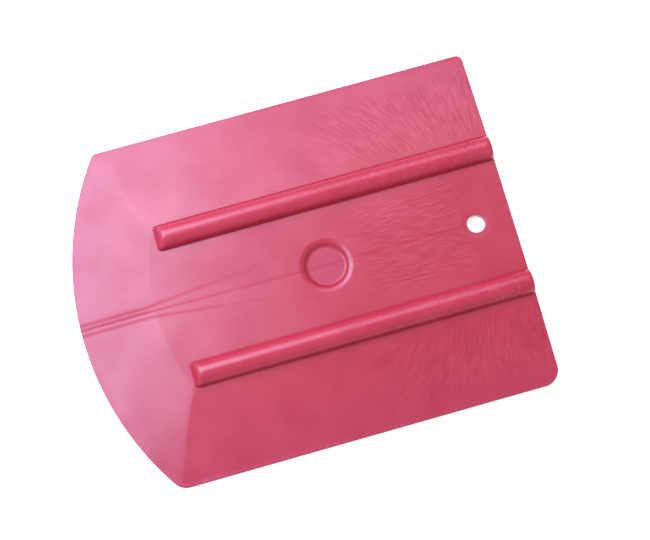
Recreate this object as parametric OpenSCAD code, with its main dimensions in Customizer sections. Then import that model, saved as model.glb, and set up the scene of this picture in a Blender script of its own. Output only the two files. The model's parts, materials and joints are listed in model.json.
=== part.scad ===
// Squeegee applicator: a hand blade moulded in one piece of translucent plastic,
// used to press down vinyl film and squeeze out the water or air below it.
// +Y runs from the bowed working edge to the rear edge, where the hanging hole is.
// +X is the blade's right-hand side as seen from its working edge.
// The flat underside lies on z = 0, and the origin is the centre of its bounding
// rectangle. All sizes are in millimetres.

/* [Blade] */
// Width across the two side edges
blade_w = 100; // [90:1:150]
// Overall length, from the crown of the working edge to the rear edge
blade_l = 127; // [105:1:180]
// How far the working edge bows out in front of its two corners
edge_bow = 16; // [10:0.5:22]
// Thickness of the flat panel in the middle
panel_t = 3; // [2.4:0.1:5]
// Thickness left at the working edge and at the two side edges
edge_t = 1; // [0.6:0.1:1.6]
// Width of the flat land left along the working edge and the side edges
edge_land = 1.2; // [0:0.1:4]
// Distance over which the front thins down to the working edge
taper_l = 22; // [14:1:30]
// Radius of the two crisp corners on the left-hand side, seen from above
left_corner_r = 2; // [0.5:0.1:8]
// Radius of the two rounder corners on the right-hand side, seen from above
right_corner_r = 4.8; // [0.5:0.1:8]

/* [Ribs] */
// Distance between the centre lines of the two ribs
rib_pitch = 40.6; // [32:0.2:56]
// Width of a rib at its foot
rib_w = 7.4; // [5:0.2:10]
// Height of a rib above the panel
rib_h = 3.5; // [2:0.1:6]
// Length of a rib's sloping front end, seen from above
rib_nose_l = 1.9; // [0.2:0.1:4]
// Radius of a rib's two front corners, seen from above
rib_corner_r = 0.8; // [0.2:0.1:2]
// Gap between the start of the front taper and the front end of a rib
rib_gap = 0.6; // [0:0.1:5]

/* [Hanging hole] */
// Diameter of the hole
hole_d = 5.3; // [4:0.1:9]
// Distance from the rear edge to the centre of the hole
hole_inset = 10.5; // [7:0.5:25]

/* [Round recess] */
// Distance from the rear edge to the centre of the recess
recess_inset = 55; // [35:1:62]
// Diameter of the recess at its mouth
recess_d = 15; // [12:0.2:20]
// Diameter of the flat floor, at the foot of the sloping wall
recess_floor_d = 10.8; // [4:0.2:11.8]
// Depth of the floor below the panel
recess_depth = 1.3; // [0.2:0.1:1.8]

/* [Hidden] */

$fn = 180;
// Overshoot that lets a cut run clear of the face it opens
spill = 1;

front_y = -blade_l / 2;
rear_y = blade_l / 2;
half_w = blade_w / 2;
// The working edge is an arc through its crown and the two front corners
edge_r = (half_w * half_w + edge_bow * edge_bow) / (2 * edge_bow);
edge_centre_y = front_y + edge_r;
// The wings start at the outer feet of the ribs and fall to the side edges
rib_x = rib_pitch / 2;
rib_foot_x = rib_x + rib_w / 2;
// The taper starts on an arc inside the working edge; this is where it meets the wing
hip_y = edge_centre_y - sqrt(pow(edge_r - taper_l, 2) - pow(rib_foot_x, 2));
rib_front_y = hip_y + rib_gap;
// The arch of a rib is a segment of a circle, or a half circle on straight sides if it is tall
arch_r = rib_h < rib_w / 2
    ? (pow(rib_w / 2, 2) + rib_h * rib_h) / (2 * rib_h)
    : rib_w / 2;
arch_centre_z = rib_h - arch_r;
hole_y = rear_y - hole_inset;
recess_y = rear_y - recess_inset;

// Centre of a front corner's fillet of radius "r" at +X: it touches the side edge and
// the working edge
function front_fillet(r) = [
    half_w - r,
    edge_centre_y - sqrt(pow(edge_r - r, 2) - pow(half_w - r, 2))
];
// Centre of a rear corner's fillet of radius "r" at +X
function rear_fillet(r) = [half_w - r, rear_y - r];
function unit(v) = v / norm(v);

// The sharp corner that a fillet at +X cuts off: "to_end" is the direction from the
// fillet's centre to where it leaves the working edge or the rear edge
module corner_wedge(centre, r, to_end) {
    beyond = 4 * r;
    polygon([
        centre,
        centre + [beyond, 0],
        centre + [beyond, beyond * sign(to_end.y)],
        centre + beyond * to_end,
    ]);
}

// Both sharp corners at +X
module corner_wedges(r) {
    corner_wedge(front_fillet(r), r, unit(front_fillet(r) - [0, edge_centre_y]));
    corner_wedge(rear_fillet(r), r, [0, 1]);
}

// The discs that fill both corners at +X out to their fillets
module corner_discs(r) {
    translate(front_fillet(r)) circle(r = r);
    translate(rear_fillet(r)) circle(r = r);
}

// The blade seen from above, with sharp corners
module sharp_outline() {
    intersection() {
        translate([-half_w, front_y]) square([blade_w, blade_l]);
        union() {
            translate([0, edge_centre_y]) circle(r = edge_r, $fn = 360);
            translate([-half_w, edge_centre_y]) square([blade_w, rear_y - edge_centre_y + spill]);
        }
    }
}

// The blade seen from above, with its four corners rounded
module outline() {
    difference() {
        sharp_outline();
        corner_wedges(right_corner_r);
        mirror([1, 0]) corner_wedges(left_corner_r);
    }
    corner_discs(right_corner_r);
    mirror([1, 0]) corner_discs(left_corner_r);
}

// The slope from the panel down to the flat land along an edge, as the outline of what is
// cut away above it. "edge" is where that edge lies and "run" how far in the slope starts
module slope_section(edge, run) {
    above = spill * (run - edge_land) / (panel_t - edge_t);
    polygon([
        [edge - run - above, panel_t + spill],
        [edge - edge_land, edge_t],
        [edge + spill, edge_t],
        [edge + spill, panel_t + spill],
    ]);
}

// What the front taper takes off: a cone about the centre of the working edge
module front_relief() {
    translate([0, edge_centre_y, 0]) intersection() {
        rotate_extrude($fn = 360) slope_section(edge_r, taper_l);
        translate([-2 * edge_r, -2 * edge_r, 0]) cube([4 * edge_r, 2 * edge_r, 2 * panel_t]);
    }
}

// What the sloping wing at +X takes off
module wing_relief() {
    translate([0, rear_y + spill, 0]) rotate([90, 0, 0])
        linear_extrude(blade_l + 2 * spill) slope_section(half_w, half_w - rib_foot_x);
}

// The round recess sunk into the panel, with a sloping wall and a flat floor
module round_recess() {
    translate([0, recess_y, panel_t]) rotate_extrude() polygon([
        [0, -recess_depth],
        [recess_floor_d / 2, -recess_depth],
        [recess_d / 2, 0],
        [recess_d / 2, spill],
        [0, spill],
    ]);
}

module hanging_hole() {
    translate([0, hole_y, -spill]) cylinder(d = hole_d, h = panel_t + 2 * spill);
}

// The arch of a rib, standing on the line y = 0
module rib_section() {
    intersection() {
        translate([-rib_w / 2, 0]) square([rib_w, rib_h]);
        union() {
            translate([0, arch_centre_z]) circle(r = arch_r);
            if (arch_centre_z > 0) translate([-rib_w / 2, 0]) square([rib_w, arch_centre_z]);
        }
    }
}

// A rib seen from above, with its two front corners rounded
module rib_footprint() {
    rib_l = rear_y - rib_front_y;
    translate([-rib_w / 2, rib_front_y + rib_corner_r]) square([rib_w, rib_l - rib_corner_r]);
    translate([-rib_w / 2 + rib_corner_r, rib_front_y]) square([rib_w - 2 * rib_corner_r, rib_l]);
    for (side = [-1, 1])
        translate([side * (rib_w / 2 - rib_corner_r), rib_front_y + rib_corner_r])
            circle(r = rib_corner_r);
}

// A rib seen from the side, with its sloping front end and upright rear end
module rib_side_view() {
    polygon([
        [rib_front_y, 0],
        [rear_y, 0],
        [rear_y, rib_h],
        [rib_front_y + rib_nose_l, rib_h],
    ]);
}

// A half-round rib on the panel, "x" away from the blade's centre line
module rib(x) {
    translate([x, 0, panel_t]) intersection() {
        translate([0, rear_y, 0]) rotate([90, 0, 0]) linear_extrude(rear_y - rib_front_y) rib_section();
        linear_extrude(rib_h) rib_footprint();
        translate([-rib_w, 0, 0]) rotate([90, 0, 90]) linear_extrude(2 * rib_w) rib_side_view();
    }
}

module blade_plate() {
    color([0.84, 0.36, 0.49]) difference() {
        linear_extrude(panel_t) outline();
        front_relief();
        wing_relief();
        mirror([1, 0, 0]) wing_relief();
        round_recess();
        hanging_hole();
    }
}

module left_rib() {
    color([0.78, 0.27, 0.38]) rib(-rib_x);
}

module right_rib() {
    color([0.78, 0.27, 0.38]) rib(rib_x);
}

blade_plate();
left_rib();
right_rib();
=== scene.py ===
# %% [markdown]
# # Squeegee applicator
# This is a hand blade that presses vinyl film down. The real one is moulded in one shot
# of translucent polypropylene: a plate with a thin, bowed working edge, two stiffening
# ribs, a round recess and a hole to hang it by. The CAD model has its exact shape. This
# script dresses it: it builds a finer skin over each CAD node, gives the skins a moulded
# plastic material, and sets up soft studio light and a camera. Shapes are worked out in
# millimetres, as on the drawing, and are scaled to metres at the end.

# %% Setup
import json
import math

import bpy
from mathutils import Matrix, Vector
from mathutils.geometry import delaunay_2d_cdt


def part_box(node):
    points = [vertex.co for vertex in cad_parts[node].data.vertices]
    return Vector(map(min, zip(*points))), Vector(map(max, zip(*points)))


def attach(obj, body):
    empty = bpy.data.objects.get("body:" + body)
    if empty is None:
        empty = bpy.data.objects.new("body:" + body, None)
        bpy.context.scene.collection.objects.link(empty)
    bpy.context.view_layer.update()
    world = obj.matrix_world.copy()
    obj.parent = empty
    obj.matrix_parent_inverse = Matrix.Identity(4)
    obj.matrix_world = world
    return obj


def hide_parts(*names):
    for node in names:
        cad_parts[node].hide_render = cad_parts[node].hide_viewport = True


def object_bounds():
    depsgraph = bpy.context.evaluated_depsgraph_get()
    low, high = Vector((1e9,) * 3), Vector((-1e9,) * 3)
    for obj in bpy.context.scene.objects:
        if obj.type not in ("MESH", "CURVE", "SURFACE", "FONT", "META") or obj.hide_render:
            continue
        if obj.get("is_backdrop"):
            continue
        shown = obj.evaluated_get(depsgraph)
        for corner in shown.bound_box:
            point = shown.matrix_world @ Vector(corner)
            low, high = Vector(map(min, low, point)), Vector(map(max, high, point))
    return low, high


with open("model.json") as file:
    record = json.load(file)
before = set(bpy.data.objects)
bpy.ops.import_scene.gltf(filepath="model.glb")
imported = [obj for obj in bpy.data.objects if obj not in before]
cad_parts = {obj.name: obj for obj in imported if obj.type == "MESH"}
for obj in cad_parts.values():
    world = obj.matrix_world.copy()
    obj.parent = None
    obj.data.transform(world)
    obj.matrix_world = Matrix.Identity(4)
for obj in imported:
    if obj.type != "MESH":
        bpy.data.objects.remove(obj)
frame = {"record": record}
cad_box = [list(corner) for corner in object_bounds()]
print("CAD box:", cad_box)

# %% [markdown]
# ## Sizes
# A skin fits its CAD node only if both have the same sizes. So everything that the CAD
# model can tell is measured from it: the plate's box, a rib's box and the hanging hole.
# The other sizes repeat the drawing's own.

# %% Sizes measured from the CAD model, in mm
MM = 0.001
plate_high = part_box("blade_plate")[1] / MM
rib_low, rib_high = (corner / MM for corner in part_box("right_rib"))
hole = next(m for m in frame["record"]["mounts"] if m["kind"] == "bore")

half_w = plate_high.x
rear_y = plate_high.y
front_y = -rear_y
panel_t = plate_high.z
rib_x = (rib_low.x + rib_high.x) / 2
rib_half_w = (rib_high.x - rib_low.x) / 2
rib_h = rib_high.z - rib_low.z
rib_front_y = rib_low.y
hole_y = hole["pos_m"][1] / MM
hole_r = hole["dims"]["r_mm"]
print("half width", half_w, "length", 2 * rear_y, "panel", panel_t, "hole radius", hole_r)

# %% Sizes from the drawing, in mm
edge_t = 1.0
edge_bow = 16.0
edge_land = 1.2
taper_l = 22.0
left_corner_r = 2.0
right_corner_r = 4.8
rib_nose_l = 1.9
recess_inset = 55.0

# The working edge is an arc through its crown and the two front corners
edge_r = (half_w ** 2 + edge_bow ** 2) / (2 * edge_bow)
edge_cy = front_y + edge_r
recess_y = rear_y - recess_inset
rib_foot_x = rib_x + rib_half_w
wing_run = half_w - rib_x - rib_half_w
print("working edge radius", edge_r, "wing width", wing_run)

# %% [markdown]
# ## Helpers
# Blender builds materials and rules from nodes. A script that adds them is easier to read
# when each node is one line. So `add` makes a node, sets its properties, and fills its
# inputs with numbers or with links from other nodes. A node that is given as an input
# stands for its first output.

# %% A helper that adds a node
MATH = "ShaderNodeMath"
VECTOR = "ShaderNodeVectorMath"
RANGE = "ShaderNodeMapRange"


def pick(sockets, key):
    """The socket with that name, or in that place, among those in use."""
    shown = [s for s in sockets if s.enabled]
    if isinstance(key, int):
        return shown[key]
    return next(s for s in shown if s.name == key)


def add(tree, kind, inputs=(), **settings):
    """Add a node: its settings, then its inputs as a list in order or a dict by name."""
    node = tree.nodes.new(kind)
    for name, value in settings.items():
        setattr(node, name, value)
    pairs = inputs.items() if isinstance(inputs, dict) else enumerate(inputs)
    for key, value in pairs:
        socket = pick(node.inputs, key)
        if isinstance(value, bpy.types.Node):
            value = pick(value.outputs, 0)
        if isinstance(value, bpy.types.NodeSocket):
            tree.links.new(value, socket)
        elif value is not None:
            socket.default_value = value
    return node


# %% [markdown]
# A moulding has many soft lines: a crest or a groove that fades on both sides. A bell
# curve of the distance from the line gives that, in a material and in a shape alike.

# %% A helper that adds a soft line
def bell(tree, distance, width, steepness=1.0):
    """A curve that is 1 where the distance is 0, and fades on both sides of it."""
    curve = add(tree, MATH, [distance, width], operation="DIVIDE")
    curve = add(tree, MATH, [curve, curve], operation="MULTIPLY")
    curve = add(tree, MATH, [curve, -steepness], operation="MULTIPLY")
    return add(tree, MATH, [curve], operation="EXPONENT")


# %% A helper for colours
def linear(hex_colour):
    """A colour written as sRGB hex, such as "#D2506E", in Blender's linear values."""
    parts = [int(hex_colour[i:i + 2], 16) / 255 for i in (1, 3, 5)]
    low = [p / 12.92 for p in parts]
    high = [((p + 0.055) / 1.055) ** 2.4 for p in parts]
    return [a if p <= 0.04045 else b for p, a, b in zip(parts, low, high)] + [1.0]


# %% [markdown]
# ## The plastic
# The blade is injection-moulded polypropylene, tinted a translucent pink-red. The steel
# mould leaves it half glossy, so a near light lays a broad pale veil over the deep red
# below. A little light also scatters inside, which softens edges and shadows.
#
# Where the melt met itself behind a pin of the mould it left a weld line, and where it
# slowed down it left flow marks. A picture of them would stretch and blur on a close look.
# Here each mesh carries coordinates that run along them instead, and noise follows those.
# The attribute `wall` is the local thickness, `flow` runs along the flow marks, `weld` is
# the distance from the weld line's strands, and `amounts` says how strong each is.

# %% Material: injection-moulded translucent polypropylene, pink-red and half glossy
plastic = bpy.data.materials.new("moulded_translucent_polypropylene")
plastic.use_nodes = True
tree = plastic.node_tree
tree.nodes.clear()

wall = add(tree, "ShaderNodeAttribute", attribute_name="wall")
flow = add(tree, "ShaderNodeAttribute", attribute_name="flow")
weld = add(tree, "ShaderNodeAttribute", attribute_name="weld")
amounts = add(tree, "ShaderNodeAttribute", attribute_name="amounts")
place = add(tree, "ShaderNodeTexCoord").outputs["Object"]
amount = add(tree, "ShaderNodeSeparateXYZ", [amounts.outputs["Vector"]]).outputs
print("material:", plastic.name)

# %% [markdown]
# The tint changes a little with the thickness, and some of that is painted light. The thin
# edges are a touch bluer and paler, which paints the white floor shining through them, and
# the ribs a touch brighter, which paints the red glow of light scattered inside the thick
# ribs. A colour ramp over the thickness does this.

# %% Tint by thickness, with painted glow on the ribs and painted shine-through at the edges
EDGE_TINT_PAINTED_SHINE_THROUGH = linear("#A0243A")
PANEL_TINT = linear("#A22134")
RIB_TINT_PAINTED_GLOW = linear("#A82138")
PANEL_STOP = 0.36
depth = add(tree, RANGE, {
    "Value": wall.outputs["Fac"], "From Min": edge_t, "From Max": panel_t + rib_h})
tint_with_painted_glow = add(tree, "ShaderNodeValToRGB", [depth])
stops = tint_with_painted_glow.color_ramp.elements
stops[0].position = 0.0
stops[0].color = EDGE_TINT_PAINTED_SHINE_THROUGH
stops[1].position = 1.0
stops[1].color = RIB_TINT_PAINTED_GLOW
stops.new(PANEL_STOP).color = PANEL_TINT
print("tint stops:", [round(s.position, 2) for s in stops])

# %% [markdown]
# Flow marks are fine, long ripples that wander a little. The `flow` coordinates already
# have the marks' width and length as their units, so the noise on them has a scale of 1.

# %% Flow marks
wander_mm = 3.85
WANDER = (0.8, 0.5, 0.0)
wander = add(tree, "ShaderNodeTexNoise", {
    "Vector": place, "Scale": 1 / (wander_mm * MM), "Detail": 1.0})
wander = add(tree, VECTOR, [wander.outputs["Color"], (0.5, 0.5, 0.5)], operation="SUBTRACT")
wander = add(tree, VECTOR, [wander, WANDER, flow.outputs["Vector"]], operation="MULTIPLY_ADD")
ripples = add(tree, "ShaderNodeTexNoise", {
    "Vector": wander, "Scale": 1.0, "Detail": 1.5, "Roughness": 0.45})
marks = add(tree, RANGE, {
    "Value": ripples, "From Min": 0.32, "From Max": 0.68, "To Min": -1.0, "To Max": 1.0})
marks = add(tree, MATH, [marks, amount["X"]], operation="MULTIPLY")
print("flow marks wander over", wander_mm, "mm")

# %% [markdown]
# The weld line has three fine strands: one on the middle of the blade and a pair that
# spreads apart. Near the working edge a broad, faint band of painted shade lies beside
# them, where the weld line's shallow dip would be in shade.

# %% Weld line, with a band of painted shade beside it
middle_w = 0.35
pair_w = 0.5
shade_streak_w = 2.0
shade_streak_off = 1.0
line = add(tree, "ShaderNodeSeparateXYZ", [weld.outputs["Vector"]]).outputs
strand = bell(tree, line["X"], middle_w)
strand = add(tree, MATH, [strand, amount["Y"]], operation="MULTIPLY")
pair = bell(tree, line["Y"], pair_w)
pair = add(tree, MATH, [pair, amount["Z"]], operation="MULTIPLY")
seam = add(tree, MATH, [strand, pair], operation="ADD")

# Painted shade: a broad darker band beside the weld line, where its dip lies in shade.
shade_streak = add(tree, MATH, [line["X"], shade_streak_off], operation="ADD")
shade_streak = bell(tree, shade_streak, shade_streak_w)
shade_streak_end = add(tree, RANGE, {
    "Value": line["Z"], "From Min": -50.0, "From Max": -30.0, "To Min": 1.0, "To Max": 0.0})
shade_streak = add(tree, MATH, [shade_streak, shade_streak_end], operation="MULTIPLY")
print("weld line strands:", 2 * middle_w, "and", 2 * pair_w, "mm wide")

# %% [markdown]
# The mass is never quite even, so large soft clouds shift the colour a little. The marks
# and the weld line shift it too, and the band beside the weld line darkens it as painted
# shade. All of these shifts add up to a factor close to 1.

# %% Base colour
cloud_mm = 11.1
cloud = add(tree, "ShaderNodeTexNoise", {
    "Vector": place, "Scale": 1 / (cloud_mm * MM), "Detail": 3.0})
cloud = add(tree, RANGE, {
    "Value": cloud, "From Min": 0.3, "From Max": 0.7, "To Min": -0.045, "To Max": 0.045})
shade = add(tree, MATH, [marks, 0.05, cloud], operation="MULTIPLY_ADD")
shade = add(tree, MATH, [seam, -0.03, shade], operation="MULTIPLY_ADD")
# This darkens the colour by the painted shade beside the weld line.
shade = add(tree, MATH, [shade_streak, -0.03, shade], operation="MULTIPLY_ADD")
shade = add(tree, MATH, [shade, 1.0], operation="ADD")
# The tint carries the painted glow of the ribs and the painted shine-through of the thin
# edges.
colour = add(tree, VECTOR, [tint_with_painted_glow.outputs["Color"], shade], operation="MULTIPLY")
print("clouds are about", cloud_mm, "mm across")

# %% [markdown]
# Along the marks and the weld line the plastic copied the steel less well, so it mirrors
# less of the veil of light and more of its own colour shows. Painting them darker would
# turn them grey. So they work mainly on the strength of the reflection, with a bump of a
# few thousandths of a millimetre. The mould's fine grain is drawn at 0.4 mm, coarser than
# the real one, so that it still shows.

# %% Relief, roughness and gloss
grain_mm = 0.4
grain = add(tree, "ShaderNodeTexNoise", {
    "Vector": place, "Scale": 1 / (grain_mm * MM), "Detail": 2.0})
height = add(tree, MATH, [marks, 0.009], operation="MULTIPLY")
height = add(tree, MATH, [grain, 0.002, height], operation="MULTIPLY_ADD")
height = add(tree, MATH, [seam, -0.012, height], operation="MULTIPLY_ADD")
bump = add(tree, "ShaderNodeBump", {"Height": height, "Strength": 1.0, "Distance": MM})
rough = add(tree, RANGE, {
    "Value": grain, "From Min": 0.3, "From Max": 0.7, "To Min": 0.275, "To Max": 0.295})
gloss = add(tree, MATH, [cloud, 1.6, 0.5], operation="MULTIPLY_ADD")
gloss = add(tree, MATH, [marks, 0.1, gloss], operation="MULTIPLY_ADD")
gloss = add(tree, MATH, [seam, -0.26, gloss], operation="MULTIPLY_ADD")
gloss = add(tree, MATH, [shade_streak, -0.08, gloss], operation="MULTIPLY_ADD")
print("grain is drawn at", grain_mm, "mm")

# %% [markdown]
# Polypropylene has an IOR of 1.49. Red light travels about a millimetre inside it here,
# and green and blue much less, so the glow at a thin edge is redder than the rest.

# %% Put the material together
GLOW_REACH = (1.0, 0.2, 0.25)
surface = add(tree, "ShaderNodeBsdfPrincipled", {
    "Base Color": colour, "Roughness": rough, "Normal": bump, "IOR": 1.49,
    "Specular IOR Level": gloss, "Subsurface Weight": 0.15, "Subsurface Scale": 1.2 * MM})
surface.inputs["Subsurface Radius"].default_value = GLOW_REACH
add(tree, "ShaderNodeOutputMaterial", {"Surface": surface})
print("material", plastic.name, "has", len(tree.nodes), "nodes")

# %% [markdown]
# ## The plate
# The plate is a flat moulding whose top follows a simple rule, so it is made in two steps.
# First comes a flat blank: its exact outline, with rings for the rounded rims, and a fine
# grid inside. Then a Geometry Nodes tree lifts the blank's top to its height. A boolean
# would give the shape too, but with long thin triangles that shade badly.
#
# The outline is four corner arcs, three straight runs and the bow of the working edge.
# Every point keeps the direction that faces out of the blade, so that rings can be set in
# from it.

# %% Arcs and straight runs
def heading(vector):
    """The direction of a vector as an angle from 0 to a full turn."""
    return math.atan2(vector.y, vector.x) % math.tau


def arc(centre, radius, start, end, step):
    """Points along an arc with the direction that faces out of it at each."""
    count = max(2, math.ceil(radius * abs(end - start) / step))
    turns = [start + (end - start) * i / count for i in range(count + 1)]
    normals = [Vector((math.cos(t), math.sin(t))) for t in turns]
    return [(centre + radius * n, n) for n in normals]


def straight(start, end, step):
    """Points strictly between the end of one arc and the start of the next."""
    (a, normal), (b, _) = start, end
    count = math.ceil((b - a).length / step)
    return [(a.lerp(b, i / count), normal) for i in range(1, count)]


def front_fillet(side, radius):
    """The centre of a front corner's fillet, which touches the side and working edges."""
    centre = Vector((side * (half_w - radius), 0))
    centre.y = edge_cy - math.sqrt((edge_r - radius) ** 2 - centre.x ** 2)
    return centre


def rear_fillet(side, radius):
    """The centre of a rear corner's fillet."""
    return Vector((side * (half_w - radius), rear_y - radius))


# %% The outline
RIM_STEP = 0.7
QUARTER = math.pi / 2
edge_centre = Vector((0, edge_cy))
front_left = front_fillet(-1, left_corner_r)
front_right = front_fillet(1, right_corner_r)
left_turn = heading(front_left - edge_centre)
right_turn = heading(front_right - edge_centre)
# Each corner: its fillet's centre and radius, where it starts and ends, and its point step
CORNERS = (
    (rear_fillet(1, right_corner_r), right_corner_r, 0, QUARTER, 0.3),
    (rear_fillet(-1, left_corner_r), left_corner_r, QUARTER, math.pi, 0.2),
    (front_left, left_corner_r, math.pi, left_turn, 0.2),
    (front_right, right_corner_r, right_turn, math.tau, 0.3),
)
corner_arcs = [arc(*corner) for corner in CORNERS]
bow = arc(edge_centre, edge_r, left_turn, right_turn, RIM_STEP)[1:-1]
outline = []
for k, corner in enumerate(corner_arcs):
    following = corner_arcs[(k + 1) % len(corner_arcs)]
    is_front = corner is corner_arcs[2]
    outline += corner
    outline += bow if is_front else straight(corner[-1], following[0], RIM_STEP)
print("outline points:", len(outline))


# %% Distance in from the outline
def inset(x, y):
    """How far a point lies inside the blade's outline."""
    side = half_w - abs(x)
    front = edge_r - math.hypot(x, min(y - edge_cy, 0))
    found = min(side, rear_y - y, front)
    point = Vector((x, y))
    for centre, radius, start, end, _ in CORNERS:
        away = point - centre
        if away.length > 1e-6 and start < heading(away) < end:
            found = min(found, radius - away.length)
    return found


# %% [markdown]
# A bend stays crisp in a fine mesh only if points lie along it. The top bends where the
# flat lands end, where the taper starts and on the two hips between the taper and the
# wings. Each bend gets three rows of points: on it and just beside it.

# %% Rows of points along the bends
BEND_STEP = 0.5
BESIDE = (-0.3, 0.0, 0.3)
HIP_STEPS = 50
bends = []
for distance in (edge_land, taper_l):
    for shift in BESIDE:
        radius = edge_r - distance - shift
        reach = math.asin(min(1, (half_w - edge_land) / radius))
        count = math.ceil(2 * reach * radius / BEND_STEP)
        turns = [-QUARTER - reach + 2 * reach * i / count for i in range(count + 1)]
        row = [(radius * math.cos(t), edge_cy + radius * math.sin(t)) for t in turns]
        widest = rib_foot_x if distance == taper_l else half_w
        bends += [p for p in row if abs(p[0]) < widest]
for side in (-1, 1):
    for shift in BESIDE:
        x = side * (half_w - edge_land - shift)
        count = round((2 * rear_y - edge_bow) / BEND_STEP)
        bends += [(x, front_y + edge_bow + BEND_STEP * i) for i in range(count)]
        for i in range(HIP_STEPS + 1):
            share = i / HIP_STEPS
            x = half_w - edge_land - share * (wing_run - edge_land)
            radius = edge_r - edge_land - share * (taper_l - edge_land) + shift
            bends.append((side * x, edge_cy - math.sqrt(radius ** 2 - x ** 2)))
print("points along the bends:", len(bends))


# %% Rings of points round the hole and the recess
def ring(x, y, radius, count):
    """Points round a circle."""
    turns = [math.tau * i / count for i in range(count)]
    return [(x + radius * math.cos(t), y + radius * math.sin(t)) for t in turns]


top_round = 0.3
HOLE_POINTS = 72
RECESS_POINTS = 108
HOLE_RADII = (hole_r + 1.5 * top_round, 3.6, 4.0, 4.4, 4.8)
RECESS_RADII = [5.15 + 0.17 * i for i in range(17)]
hole_rim_r = hole_r + top_round
hole_loop = ring(0, hole_y, hole_rim_r, HOLE_POINTS)
rings = []
for radius in HOLE_RADII:
    rings += ring(0, hole_y, radius, HOLE_POINTS)
for radius in RECESS_RADII:
    rings += ring(0, recess_y, radius, RECESS_POINTS)
print("points in rings:", len(rings))

# %% Rows of points along the middle, where the weld line is
MIDDLE_STEP = 0.45
WELD_ROWS = (0, 0.22, 0.45, 0.62, 0.8, 1.0, 1.3, 1.7)
edge_room = 0.7
stagger = 0.22
hole_room = 6
recess_room = 8.3
middle = []
for i, x in enumerate(WELD_ROWS):
    start = front_y + edge_room + stagger * (i % 2)
    count = round((hole_y - hole_room - start) / MIDDLE_STEP)
    rows = [start + MIDDLE_STEP * k for k in range(count)]
    rows = [y for y in rows if abs(y - recess_y) > recess_room]
    sides = (1,) if x == 0 else (-1, 1)
    middle += [(side * x, y) for y in rows for side in sides]
print("points along the middle:", len(middle))

# %% [markdown]
# The rest is filled with a triangular grid of points about half a millimetre apart,
# wherever no ring or row is close already. To find out quickly what is close, the points
# are sorted into the square cells of a board.

# %% Keep points apart
CELL = 0.4
guard = top_round + 0.2
row_guard = guard + 0.15
grid_guard = guard + 0.3
rib_shadow = 2.6


def cell_of(x, y):
    """The cell of the board that holds a point."""
    return math.floor(x / CELL), math.floor(y / CELL)


def close_cells(points):
    """The cells that hold one of the points or lie right beside one that does."""
    cells = set()
    for x, y in points:
        column, row = cell_of(x, y)
        cells.update((column + i, row + j) for i in (-1, 0, 1) for j in (-1, 0, 1))
    return cells


def is_bare(x):
    """Whether the top at that x isn't hidden below a rib."""
    return not rib_x - rib_shadow < abs(x) < rib_x + rib_shadow


bends = [p for p in bends if inset(*p) > row_guard and is_bare(p[0])]
taken = close_cells(bends)
middle = [p for p in middle if inset(*p) > row_guard and cell_of(*p) not in taken]
extras = rings + bends + middle
taken = close_cells(extras)
print("points in rings and rows:", len(extras))

# %% The grid inside
PITCH = 0.55
row_step = PITCH * math.sqrt(3) / 2
hole_ring_r = 4.9
recess_foot_r = 4.9
recess_ring_r = 8.15
grid = []
for j in range(math.ceil(2 * rear_y / row_step)):
    y = front_y + j * row_step
    for i in range(math.ceil(2 * half_w / PITCH)):
        x = -half_w + (i + 0.5 * (j % 2)) * PITCH
        near_hole = math.hypot(x, y - hole_y) < hole_ring_r
        near_wall = recess_foot_r < math.hypot(x, y - recess_y) < recess_ring_r
        if cell_of(x, y) in taken or near_hole or near_wall:
            continue
        if inset(x, y) >= grid_guard:
            grid.append((x, y))
print("grid points:", len(grid))

# %% [markdown]
# A Delaunay triangulation joins the points into the roundest triangles that they allow,
# and it keeps the outline and the hole's rim as edges. It fills the hole as well, so the
# triangles there are dropped.


# %% Join the points into the top of the blank
def triangulate(loops, points):
    """Join closed loops and loose points into triangles; the first loop is outermost."""
    coords = [Vector(p) for loop in loops for p in loop] + [Vector(p) for p in points]
    edges = []
    start = 0
    for loop in loops:
        size = len(loop)
        edges += [(start + i, start + (i + 1) % size) for i in range(size)]
        start += size
    found = delaunay_2d_cdt(coords, edges, [], 0, 1e-5, True)
    names = [ids[0] for ids in found[3]]
    return coords, [[names[i] for i in face] for face in found[2]]


def drop_hole(coords, faces, radius):
    """Leave out the triangles that fill the hanging hole, up to a radius."""
    centre = Vector((0, hole_y))
    room = 0.01
    kept = []
    for face in faces:
        middle_of = sum((coords[i] for i in face), Vector((0, 0))) / len(face)
        if (middle_of - centre).length > radius - room:
            kept.append(face)
    return kept


def rim_at(into):
    """The outline, set in by a distance."""
    return [tuple(p - n * into) for p, n in outline]


top_coords, top_faces = triangulate([rim_at(guard), hole_loop], extras + grid)
top_faces = drop_hole(top_coords, top_faces, hole_rim_r)
print("top triangles:", len(top_faces))

# %% [markdown]
# Rings of faces round the rim and through the hole, and the underside, close the blank.
# A moulding has no sharp rims, so the rings follow a quarter circle above and a smaller
# one below. Two attributes tell the rule what to do with each point: `level` is 1 on the
# top and 0 underneath, and `drop` says how far the rounded rim falls below the surface.

# %% Rings that close the blank
verts = [(p.x, p.y, 0.0) for p in top_coords]
level = [1.0] * len(verts)
drop = [0.0] * len(verts)
faces = [tuple(f) for f in top_faces]


def add_ring(points, z, at_top, sink=0.0):
    """Add a ring of points and return the number of its first one."""
    first = len(verts)
    verts.extend((p[0], p[1], z) for p in points)
    level.extend([at_top] * len(points))
    drop.extend([sink] * len(points))
    return first


def band(upper, lower, size, flip):
    """Join two rings of the same size with faces that look outward."""
    for i in range(size):
        j = (i + 1) % size
        quad = (upper + i, lower + i, lower + j, upper + j)
        faces.append(quad[::-1] if flip else quad)


def fall(radius, into):
    """How far a rounded rim lies below the surface, "into" the radius from its wall."""
    return radius - math.sqrt(max(0, radius ** 2 - (radius - into) ** 2))


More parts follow.
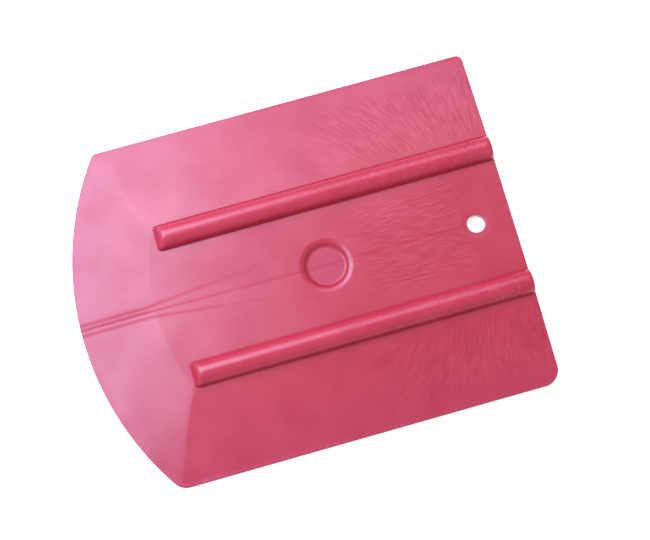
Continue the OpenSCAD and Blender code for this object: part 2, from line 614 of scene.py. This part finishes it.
# %% Walls of the rim and the hole
RIM_SHARES = (1.0, 0.62, 0.3, 0.08, 0.0)
under_round = 0.2
under_flat = 0.5
UNDER_STEPS = (0.0, 0.3 * under_round, under_round, under_flat)


def close_wall(upper, ring_at, size, shares, flip=False):
    """Go from a ring on the top over its rim to the underside; return the last ring."""
    for into in [top_round * s for s in shares]:
        lower = add_ring(ring_at(into), 0.0, 1.0, fall(top_round, into))
        band(upper, lower, size, flip)
        upper = lower
    for into in UNDER_STEPS:
        z = fall(under_round, min(into, under_round))
        lower = add_ring(ring_at(into), z, 0.0)
        band(upper, lower, size, flip)
        upper = lower
    return upper


def hole_at(into):
    """The hole's wall, set into the plastic by a distance."""
    return ring(0, hole_y, hole_r + into, HOLE_POINTS)


rim_size = len(outline)
under_rim = close_wall(0, rim_at, rim_size, RIM_SHARES)
under_hole = close_wall(rim_size, hole_at, HOLE_POINTS, RIM_SHARES[1:], flip=True)
print("points with walls:", len(verts))

# %% The underside
UNDER_PITCH = 4
under_rim_gap = 2.5
under_hole_gap = 5
columns = math.floor(half_w / UNDER_PITCH)
lines = math.floor(rear_y / UNDER_PITCH)
sparse = [
    (UNDER_PITCH * i, UNDER_PITCH * j)
    for i in range(-columns, columns + 1) for j in range(-lines, lines + 1)
]
sparse = [p for p in sparse if inset(*p) > under_rim_gap]
sparse = [p for p in sparse if math.hypot(p[0], p[1] - hole_y) > under_hole_gap]
edge_ids = [under_rim + i for i in range(rim_size)]
edge_ids += [under_hole + i for i in range(HOLE_POINTS)]
edge_points = [verts[i][:2] for i in edge_ids]
under_coords, under_faces = triangulate(
    [edge_points[:rim_size], edge_points[rim_size:]], sparse)
under_faces = drop_hole(under_coords, under_faces, hole_r + under_flat)
first = add_ring(under_coords[len(edge_ids):], 0.0, 0.0)
place_of = edge_ids + [first + i for i in range(len(sparse))]
faces += [tuple(place_of[i] for i in reversed(f)) for f in under_faces]
print("blank:", len(verts), "points,", len(faces), "faces")


# %% Make the blank an object
def make_piece(name, points, polygons, attributes):
    """A smooth-shaded mesh object with float or vector attributes on its points."""
    mesh = bpy.data.meshes.new(name)
    mesh.from_pydata(points, [], polygons)
    for key, values in attributes.items():
        kind = "FLOAT_VECTOR" if isinstance(values[0], tuple) else "FLOAT"
        layer = mesh.attributes.new(key, kind, "POINT")
        field = "vector" if kind == "FLOAT_VECTOR" else "value"
        flat = [c for v in values for c in v] if kind == "FLOAT_VECTOR" else values
        layer.data.foreach_set(field, flat)
    mesh.validate()
    mesh.shade_smooth()
    piece = bpy.data.objects.new(name, mesh)
    bpy.context.scene.collection.objects.link(piece)
    return piece


plate = make_piece("blade_plate_skin", verts, faces, {"level": level, "drop": drop})
print(plate.name, "has", len(plate.data.vertices), "points before the rule")

# %% [markdown]
# ## The rule for the top surface
# A Geometry Nodes tree lifts the top of the blank to its height. Its inputs have names,
# so a size can be changed without looking for it among the nodes.

# %% The tree and its named inputs
rule = bpy.data.node_groups.new("blade_relief", "GeometryNodeTree")
SETTINGS = {
    "Half width": half_w,
    "Edge radius": edge_r,
    "Edge centre": edge_cy,
    "Panel thickness": panel_t,
    "Edge thickness": edge_t,
    "Land width": edge_land,
    "Taper length": taper_l,
    "Wing run": wing_run,
    "Rib foot": rib_foot_x,
    "Recess centre": recess_y,
    "Hole centre": hole_y,
}
rule.interface.new_socket("Geometry", in_out="INPUT", socket_type="NodeSocketGeometry")
for name in SETTINGS:
    rule.interface.new_socket(name, in_out="INPUT", socket_type="NodeSocketFloat")
rule.interface.new_socket("Material", in_out="INPUT", socket_type="NodeSocketMaterial")
rule.interface.new_socket("Geometry", in_out="OUTPUT", socket_type="NodeSocketGeometry")
size = add(rule, "NodeGroupInput").outputs
spot = add(rule, "ShaderNodeSeparateXYZ", [add(rule, "GeometryNodeInputPosition")]).outputs
off = add(rule, MATH, [spot["X"]], operation="ABSOLUTE")
print("rule inputs:", list(SETTINGS))

# %% [markdown]
# The height is the lowest of three surfaces: the flat panel, a ramp that falls to each
# side edge and a cone that falls to the bowed working edge. Together they look like a hip
# roof. "Smooth minimum" takes the lowest and softens the ridges between them, as the
# polished edges of a mould do. "Smooth maximum" then keeps the thin lands along the edges.

# %% The hip roof
HIP_BLEND = 0.06
FLAT_BLEND = 0.05
side = add(rule, MATH, [size["Half width"], off], operation="SUBTRACT")
ahead = add(rule, MATH, [spot["Y"], size["Edge centre"]], operation="SUBTRACT")
ahead = add(rule, MATH, [ahead, 0.0], operation="MINIMUM")
reach = add(rule, "ShaderNodeCombineXYZ", [spot["X"], ahead])
reach = add(rule, VECTOR, [reach], operation="LENGTH")
front = add(rule, MATH, [size["Edge radius"], reach], operation="SUBTRACT")
slopes = []
for inward, run in ((side, size["Wing run"]), (front, size["Taper length"])):
    slopes.append(add(rule, RANGE, {
        "Value": inward, "From Min": size["Land width"], "From Max": run,
        "To Min": size["Edge thickness"], "To Max": size["Panel thickness"]}, clamp=False))
roof = add(rule, MATH, [*slopes, HIP_BLEND], operation="SMOOTH_MIN")
roof = add(rule, MATH, [roof, size["Panel thickness"], FLAT_BLEND], operation="SMOOTH_MIN")
roof = add(rule, MATH, [roof, size["Edge thickness"], FLAT_BLEND], operation="SMOOTH_MAX")
print("rule so far:", len(rule.nodes), "nodes")

# %% [markdown]
# The round recess has one sloping wall, with a tight foot and a soft rim. Two smooth
# steps that overlap give it: a shallow wide one for the rim and a deep steep one for the
# foot. A faint sunk ring, left by the pin that moulds it, lies round the hanging hole.

# %% The recess and the ring round the hole
# Each step: the input that holds its centre, the radii where it ends and starts, its depth
STEPS = (
    ("Recess centre", 5.9, 7.8, 0.4),
    ("Recess centre", 5.3, 6.7, 0.9),
    ("Hole centre", 3.2, 4.4, 0.06),
)
cuts = []
for centre, inner, outer, deep in STEPS:
    along = add(rule, MATH, [spot["Y"], size[centre]], operation="SUBTRACT")
    away = add(rule, "ShaderNodeCombineXYZ", [spot["X"], along])
    away = add(rule, VECTOR, [away], operation="LENGTH")
    cuts.append(add(rule, RANGE, {
        "Value": away, "From Min": inner, "From Max": outer, "To Min": deep, "To Max": 0.0},
        interpolation_type="SMOOTHSTEP"))
print("round steps:", len(STEPS))

# %% [markdown]
# The weld line is a shallow groove with a raised bead on either side and a broad dip
# below it all. It starts a little left of the middle at the working edge, and the relief
# fades out at the top of the taper. At its deepest it lies only 0.12 mm down, but light
# that comes from the side makes such a line easy to see.

# %% The weld line's relief
# Each part: its distance from the weld line, its half width, its depth; a bead's is below 0
WELD_PARTS = (
    (0.0, 0.3, 0.06),
    (0.8, 0.26, -0.035),
    (0.0, 2.2, 0.06),
)
middle_x = add(rule, RANGE, {
    "Value": spot["Y"], "From Min": -60.0, "From Max": -8.0, "To Min": -0.65, "To Max": 0.0})
beside = add(rule, MATH, [spot["X"], middle_x], operation="SUBTRACT")
apart = add(rule, MATH, [beside], operation="ABSOLUTE")
fade = add(rule, RANGE, {
    "Value": spot["Y"], "From Min": -44.0, "From Max": -40.5, "To Min": 1.0, "To Max": 0.0},
    interpolation_type="SMOOTHSTEP")
for centre, half_width, deep in WELD_PARTS:
    part = add(rule, MATH, [apart, centre], operation="SUBTRACT")
    part = bell(rule, part, half_width, steepness=0.5)
    part = add(rule, MATH, [part, deep], operation="MULTIPLY")
    cuts.append(add(rule, MATH, [part, fade], operation="MULTIPLY"))
for cut in cuts:
    roof = add(rule, MATH, [roof, cut], operation="SUBTRACT")
print("cuts:", len(cuts))

# %% Lift the top to its height
level_here = add(rule, "GeometryNodeInputNamedAttribute", ["level"], data_type="FLOAT")
drop_here = add(rule, "GeometryNodeInputNamedAttribute", ["drop"], data_type="FLOAT")
rim_z = add(rule, MATH, [roof, drop_here], operation="SUBTRACT")
lifted = add(rule, "ShaderNodeCombineXYZ", [spot["X"], spot["Y"], rim_z])
is_top = add(rule, "FunctionNodeCompare", [level_here, 0.5], operation="GREATER_THAN")
shape = add(rule, "GeometryNodeSetPosition", {
    "Geometry": size["Geometry"], "Selection": is_top, "Position": lifted})
print("rule so far:", len(rule.nodes), "nodes")

# %% [markdown]
# The same tree writes the coordinates that the material needs. On the wings the flow
# marks fan out from the rear: they are the level lines of (58 - y) exp(-0.027 w), with w
# the distance out from the rib. Dividing by a mark's width and length in millimetres
# makes those the units of the noise.

# %% Flow marks on the wings
FAN_Y = 58.0
FAN_RATE = 0.027
wing_mark_w = 0.66
wing_mark_l = 4.5
out = add(rule, MATH, [off, size["Rib foot"]], operation="SUBTRACT")
wing_across = add(rule, MATH, [out, -FAN_RATE], operation="MULTIPLY")
wing_across = add(rule, MATH, [wing_across], operation="EXPONENT")
behind = add(rule, MATH, [FAN_Y, spot["Y"]], operation="SUBTRACT")
wing_across = add(rule, MATH, [wing_across, behind], operation="MULTIPLY")
wing_across = add(rule, MATH, [wing_across, wing_mark_w], operation="DIVIDE")
wing_along = add(rule, MATH, [out, wing_mark_l], operation="DIVIDE")
wing_side = add(rule, MATH, [spot["X"]], operation="SIGN")
wing_flow = add(rule, "ShaderNodeCombineXYZ", [wing_across, wing_along, wing_side])
print("wing marks:", wing_mark_w, "x", wing_mark_l, "mm")

# %% [markdown]
# On the panel the melt ran straight back and parted round the pin of the hanging hole, as
# water does. Its paths are the level lines of x (1 - a²/r²), with r the distance from the
# hole's centre and a² = 12. The last coordinate only picks another slice of the noise, so
# that the panel doesn't repeat the wings' marks.

# %% Flow marks on the panel
PIN_SQUARED = 12.0
PANEL_SLICE = 9.0
panel_mark_w = 0.75
panel_mark_l = 5.0
along = add(rule, MATH, [spot["Y"], size["Hole centre"]], operation="SUBTRACT")
away = add(rule, "ShaderNodeCombineXYZ", [spot["X"], along])
away = add(rule, VECTOR, [away, away], operation="DOT_PRODUCT")
bend = add(rule, MATH, [PIN_SQUARED, away], operation="DIVIDE")
bend = add(rule, MATH, [1.0, bend], operation="SUBTRACT")
panel_across = add(rule, MATH, [spot["X"], bend], operation="MULTIPLY")
panel_across = add(rule, MATH, [panel_across, panel_mark_w], operation="DIVIDE")
panel_along = add(rule, MATH, [spot["Y"], panel_mark_l], operation="DIVIDE")
panel_flow = add(rule, "ShaderNodeCombineXYZ", [panel_across, panel_along, PANEL_SLICE])
print("panel marks:", panel_mark_w, "x", panel_mark_l, "mm")

# %% [markdown]
# The marks don't cover everything. On the wings they grow out of the rib's foot, fade
# before the side edge and get stronger towards the rear. On the panel they start at the
# recess, stay clear of the ribs and fade out before the rear edge.

# %% How strong the marks are
# Each fade: what it follows, where it starts and ends, and its values there
FADES = {
    "wing": ((out, 0.5, 4.0, 0.0, 1.0), (out, 17.0, 24.0, 1.0, 0.0),
             (spot["Y"], -6.0, 30.0, 0.0, 1.0)),
    "panel": ((off, 11.0, 15.0, 1.0, 0.0), (spot["Y"], 12.0, 24.0, 0.0, 1.0),
              (spot["Y"], 44.0, 60.0, 1.0, 0.0)),
}
strength = {}
for part, fades in FADES.items():
    steps = [
        add(rule, RANGE, {
            "Value": value, "From Min": low, "From Max": high, "To Min": first_value,
            "To Max": last_value}, interpolation_type="SMOOTHSTEP")
        for value, low, high, first_value, last_value in fades
    ]
    product = add(rule, MATH, steps[:2], operation="MULTIPLY")
    strength[part] = add(rule, MATH, [product, steps[2]], operation="MULTIPLY")
on_wing = add(rule, "FunctionNodeCompare", [out, 0.0], operation="GREATER_THAN")
mark_amount = add(rule, "GeometryNodeSwitch", [on_wing, strength["panel"], strength["wing"]],
                  input_type="FLOAT")
flow_here = add(rule, "GeometryNodeSwitch", [on_wing, panel_flow, wing_flow],
                input_type="VECTOR")
print("fades:", {part: len(fades) for part, fades in FADES.items()})

# %% [markdown]
# Behind the taper the weld line has no relief and is only seen as strands. The one on the
# middle runs on to the hanging hole. The pair beside it spreads apart and flares out in
# front of the recess, where it ends.

# %% The weld line's strands
spread = add(rule, RANGE, {
    "Value": spot["Y"], "From Min": -43.5, "From Max": -15.0, "To Min": 1.5, "To Max": 4.4})
flare = add(rule, RANGE, {
    "Value": spot["Y"], "From Min": -15.0, "From Max": -1.0, "To Min": 0.0, "To Max": 3.2},
    interpolation_type="SMOOTHSTEP")
spread = add(rule, MATH, [spread, flare], operation="ADD")
gap = add(rule, MATH, [apart, spread], operation="SUBTRACT")
weld_here = add(rule, "ShaderNodeCombineXYZ", [beside, gap, spot["Y"]])
line_start = add(rule, RANGE, {
    "Value": spot["Y"], "From Min": -45.0, "From Max": -15.0, "To Min": 1.0, "To Max": 0.65})
line_end = add(rule, RANGE, {
    "Value": spot["Y"], "From Min": 47.0, "From Max": 51.0, "To Min": 1.0, "To Max": 0.0})
line_amount = add(rule, MATH, [line_start, line_end], operation="MULTIPLY")
pair_amount = add(rule, RANGE, {
    "Value": spot["Y"], "From Min": -45.0, "From Max": -1.0, "To Min": 1.0, "To Max": 0.0})
amounts_here = add(rule, "ShaderNodeCombineXYZ", [mark_amount, line_amount, pair_amount])
print("rule so far:", len(rule.nodes), "nodes")

# %% Write the attributes and finish the tree
for name, kind, value in (
    ("wall", "FLOAT", roof), ("flow", "FLOAT_VECTOR", flow_here),
    ("weld", "FLOAT_VECTOR", weld_here), ("amounts", "FLOAT_VECTOR", amounts_here),
):
    shape = add(rule, "GeometryNodeStoreNamedAttribute", {
        "Geometry": shape, "Name": name, "Value": value}, data_type=kind, domain="POINT")
shape = add(rule, "GeometryNodeRealizeInstances", [shape])
shape = add(rule, "GeometryNodeSetMaterial", {
    "Geometry": shape, "Material": size["Material"]})
add(rule, "NodeGroupOutput", [shape])
print("rule:", len(rule.nodes), "nodes")


# %% [markdown]
# A modifier runs the tree on the blank. Its inputs are set by each socket's identifier,
# before Blender works the result out for the first time. The result is then kept as a
# plain mesh, so nothing later depends on the modifier.

# %% Apply the rule
def bake(piece, group, settings):
    """Run a Geometry Nodes tree on a piece and keep the resulting mesh."""
    modifier = piece.modifiers.new("rule", "NODES")
    modifier.node_group = group
    for item in group.interface.items_tree:
        if item.in_out == "INPUT" and item.name in settings:
            modifier[item.identifier] = settings[item.name]
    graph = bpy.context.evaluated_depsgraph_get()
    result = bpy.data.meshes.new_from_object(piece.evaluated_get(graph))
    piece.modifiers.remove(modifier)
    piece.data = result


bake(plate, rule, {**SETTINGS, "Material": plastic})
print("plate mesh:", len(plate.data.vertices), "points,", len(plate.data.polygons), "faces")

# %% [markdown]
# ## The ribs
# The two half-round ribs keep the thin plate from bending. Sweeping a section along a
# line would leave their ends open, and bevelling a straight one gives no sloping nose. So
# each rib is lofted from one cross-section that is repeated at many stations.
#
# The section is a half-ellipse with a small concave foot, where it runs into the panel.
# Its lowest part is sunk into the plate, so that no gap can show.

# %% The section
FOOT_R = 0.2
ARCH = [0, 0.8, 1.8, 3, 4.5, 6.5, 9, 12] + list(range(16, 90, 6))
half = [(math.cos(math.radians(a)), math.sin(math.radians(a))) for a in ARCH]
section = half + [(0.0, 1.0)] + [(-u, v) for u, v in reversed(half)]
section += [(-0.97, -0.03), (-0.88, -0.4), (0.88, -0.4), (0.97, -0.03)]
print("section points:", len(section))

# %% [markdown]
# At both ends the sections shrink to a point, which makes the end faces, and they open
# out round a quarter circle, which makes the rounded rims.

# %% The stations along a rib
ROUND_STEPS = 8
NOSE_SCALES = (0.12, 0.3, 0.5, 0.66, 0.73)
END_SCALES = (0.68, 0.5, 0.3, 0.12)
nose_drop = 0.9
nose_rim = 1.4
end_drop = 0.7
end_rim = 1.3
station_step = 0.8


def stations():
    """Each station's distance along the rib, scale, and turn from nose face to side."""
    found = [(rib_front_y, scale, 0.0) for scale in NOSE_SCALES]
    for i in range(ROUND_STEPS + 1):
        t = QUARTER * i / ROUND_STEPS
        scale = 1 - (nose_drop - nose_drop * math.sin(t)) / rib_half_w
        found.append((rib_front_y + nose_rim - nose_rim * math.cos(t), scale, i / ROUND_STEPS))
    start = rib_front_y + nose_rim
    length = rear_y - end_rim - start
    count = round(length / station_step)
    found += [(start + length * i / count, 1.0, 1.0) for i in range(1, count)]
    for i in range(ROUND_STEPS + 1):
        t = QUARTER * i / ROUND_STEPS
        scale = 1 - end_drop * (1 - math.cos(t)) / rib_half_w
        found.append((rear_y - end_rim + end_rim * math.sin(t), scale, 1.0))
    found += [(rear_y, scale, 1.0) for scale in END_SCALES]
    return found


print("stations:", len(stations()))

# %% [markdown]
# The nose slopes back: near it, a point is moved along the rib by its height above the
# panel, and this fades out over the next few millimetres.

# %% One point of a rib
LEAN_FADE = 12


def rib_point(u, v, y, scale, turn):
    """A point of a rib on the middle line, from its place in the section and station."""
    x = u * scale * rib_half_w
    z = v * scale * rib_h
    reach = max(0, FOOT_R - max(0, z))
    flare = FOOT_R - math.sqrt(max(0, FOOT_R ** 2 - reach ** 2))
    angle = turn * QUARTER
    lean = rib_nose_l * max(0, z) / rib_h * max(0, 1 - (y - rib_front_y) / LEAN_FADE)
    if u:
        x += math.copysign(flare * math.sin(angle), u)
    return x, y + lean - flare * math.cos(angle), panel_t + z


# %% [markdown]
# A rib carries the same attributes as the plate. Its marks are a fine mottling, faint at
# the front and stronger at the rear, and it has no weld line, so that is far away.

# %% Loft the ribs
mottle_w = 0.9
mottle_l = 1.3
FAR = (99.0, 99.0, 99.0)
MOTTLE_FRONT = 0.3
MOTTLE_GAIN = 0.8
MOTTLE_RUN = 60


def rib_skin(name, centre_x):
    """A rib's skin, closed, in millimetres."""
    found = stations()
    points = [rib_point(u, v, *station) for station in found for u, v in section]
    points = [(centre_x + x, y, z) for x, y, z in points]
    width = len(section)
    last = (len(found) - 1) * width
    nose_pole = len(points)
    end_pole = nose_pole + 1
    points += [(centre_x, rib_front_y - FOOT_R, panel_t), (centre_x, rear_y, panel_t)]
    quads = []
    for i in range(width):
        j = (i + 1) % width
        quads += [(b + i, b + j, b - width + j, b - width + i)
                  for b in range(width, last + 1, width)]
        quads.append((i, j, nose_pole))
        quads.append((last + j, last + i, end_pole))
    walls = [max(z, panel_t) for x, y, z in points]
    flows = [(x / mottle_w, y / mottle_l, z / mottle_w + centre_x) for x, y, z in points]
    rears = [min(1, max(0, y / MOTTLE_RUN)) for x, y, z in points]
    mottles = [(MOTTLE_FRONT + MOTTLE_GAIN * rear, 0.0, 0.0) for rear in rears]
    piece = make_piece(name, points, quads, {
        "wall": walls, "flow": flows, "amounts": mottles, "weld": [FAR] * len(points)})
    piece.data.materials.append(plastic)
    print(name, "has", len(points), "points")
    return piece


left_rib = rib_skin("left_rib_skin", -rib_x)
right_rib = rib_skin("right_rib_skin", rib_x)

# %% [markdown]
# Each skin stands for one CAD node and rides on the one rigid body. They are scaled from
# millimetres to metres in their meshes, so the objects stay unturned and unscaled.

# %% Place the pieces
for piece, node in (
    (plate, "blade_plate"), (left_rib, "left_rib"), (right_rib, "right_rib"),
):
    piece.data.transform(Matrix.Scale(MM, 4))
    piece.data.update()
    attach(piece, "root")
    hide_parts(node)
    print(piece.name, [round(v / MM, 3) for v in piece.dimensions], "mm")

# %% [markdown]
# ## The studio
# The blade lies on white paper, which is lit past white so that the shadow is lost in it.

# %% Floor
FLOOR_SIZE = 8.0
FLOOR_GAP = 0.2 * MM
bpy.ops.mesh.primitive_plane_add(size=FLOOR_SIZE, location=(0, 0, -FLOOR_GAP))
floor = bpy.context.object
floor.name = "floor"
paper = bpy.data.materials.new("white_paper")
paper.use_nodes = True
paper_shader = paper.node_tree.nodes["Principled BSDF"]
paper_shader.inputs["Base Color"].default_value = linear("#FAFAFA")
paper_shader.inputs["Roughness"].default_value = 0.9
paper_shader.inputs["Specular IOR Level"].default_value = 0.1
paper_shader.inputs["Emission Color"].default_value = linear("#FFFFFF")
paper_shader.inputs["Emission Strength"].default_value = 0.5
floor.data.materials.append(paper)
floor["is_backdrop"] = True
print("floor:", FLOOR_SIZE, "m wide")

# %% [markdown]
# A bright, even sky fills in from all sides. The shape is drawn by two soft lights above
# the blade. The cool key stands near, in front and to the left. Its broad reflection is
# strong over the working edge and fades towards the rear. A weaker, pinker light stands
# further off, beyond the left-hand side.

# %% Sky
world = bpy.data.worlds.new("studio")
world.use_nodes = True
sky = world.node_tree.nodes["Background"].inputs
sky["Color"].default_value = linear("#F4FFFF")
sky["Strength"].default_value = 0.8
bpy.context.scene.world = world
print("sky strength:", sky["Strength"].default_value)


# %% Lights
def soft_light(name, azimuth, tilt, distance, radius, radiance, colour):
    """A round soft light that faces the blade; the tilt is measured from straight up."""
    lamp = bpy.data.lights.new(name, "AREA")
    lamp.shape = "DISK"
    lamp.size = 2 * radius
    area = math.pi * radius ** 2
    lamp.energy = radiance * math.pi * area
    lamp.color = linear(colour)[:3]
    holder = bpy.data.objects.new(name, lamp)
    around = math.radians(azimuth)
    down = math.radians(tilt)
    toward = Vector((
        math.cos(around) * math.sin(down), math.sin(around) * math.sin(down), math.cos(down)))
    holder.location = toward * distance
    holder.rotation_euler = toward.to_track_quat("Z", "Y").to_euler()
    holder.visible_camera = False
    bpy.context.scene.collection.objects.link(holder)
    print(name, "light:", round(lamp.energy, 2), "W")


soft_light("key", azimuth=235, tilt=37, distance=0.3, radius=0.153, radiance=9.2,
           colour="#B4D7FF")
soft_light("left", azimuth=175, tilt=32, distance=1.0, radius=0.35, radiance=3.3,
           colour="#FFD6FC")

# %% [markdown]
# The camera looks almost straight down, half a metre above the blade, and is turned so
# that the working edge points to the left. Its place and the directions to its right and
# behind it give its matrix. The long lens keeps the blade's sides nearly parallel.

# %% Camera
CAMERA_PLACE = (0.090535, -0.0214, 0.491334)
CAMERA_RIGHT = (0.27387, 0.96174, 0.00737)
CAMERA_BACK = (0.17939, -0.0586, 0.98203)
camera = bpy.data.objects.new("camera", bpy.data.cameras.new("camera"))
camera.data.lens = 97.006
camera.data.sensor_width = 36.0
camera.data.clip_start = 0.01
right = Vector(CAMERA_RIGHT).normalized()
back = Vector(CAMERA_BACK)
back = (back - right * back.dot(right)).normalized()
up = back.cross(right)
turned = Matrix((right, up, back)).transposed().to_4x4()
camera.matrix_world = Matrix.Translation(CAMERA_PLACE) @ turned
bpy.context.scene.collection.objects.link(camera)
bpy.context.scene.camera = camera
bpy.context.scene.view_settings.view_transform = "Standard"
print("camera:", camera.data.lens, "mm lens")

# %% Print the CAD and visual boxes and finish
bpy.context.view_layer.update()
visual_box = [list(corner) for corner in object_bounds()]
for name, box in (("cad", cad_box), ("visual", visual_box)):
    print(name, [[round(v / MM, 2) for v in corner] for corner in box])
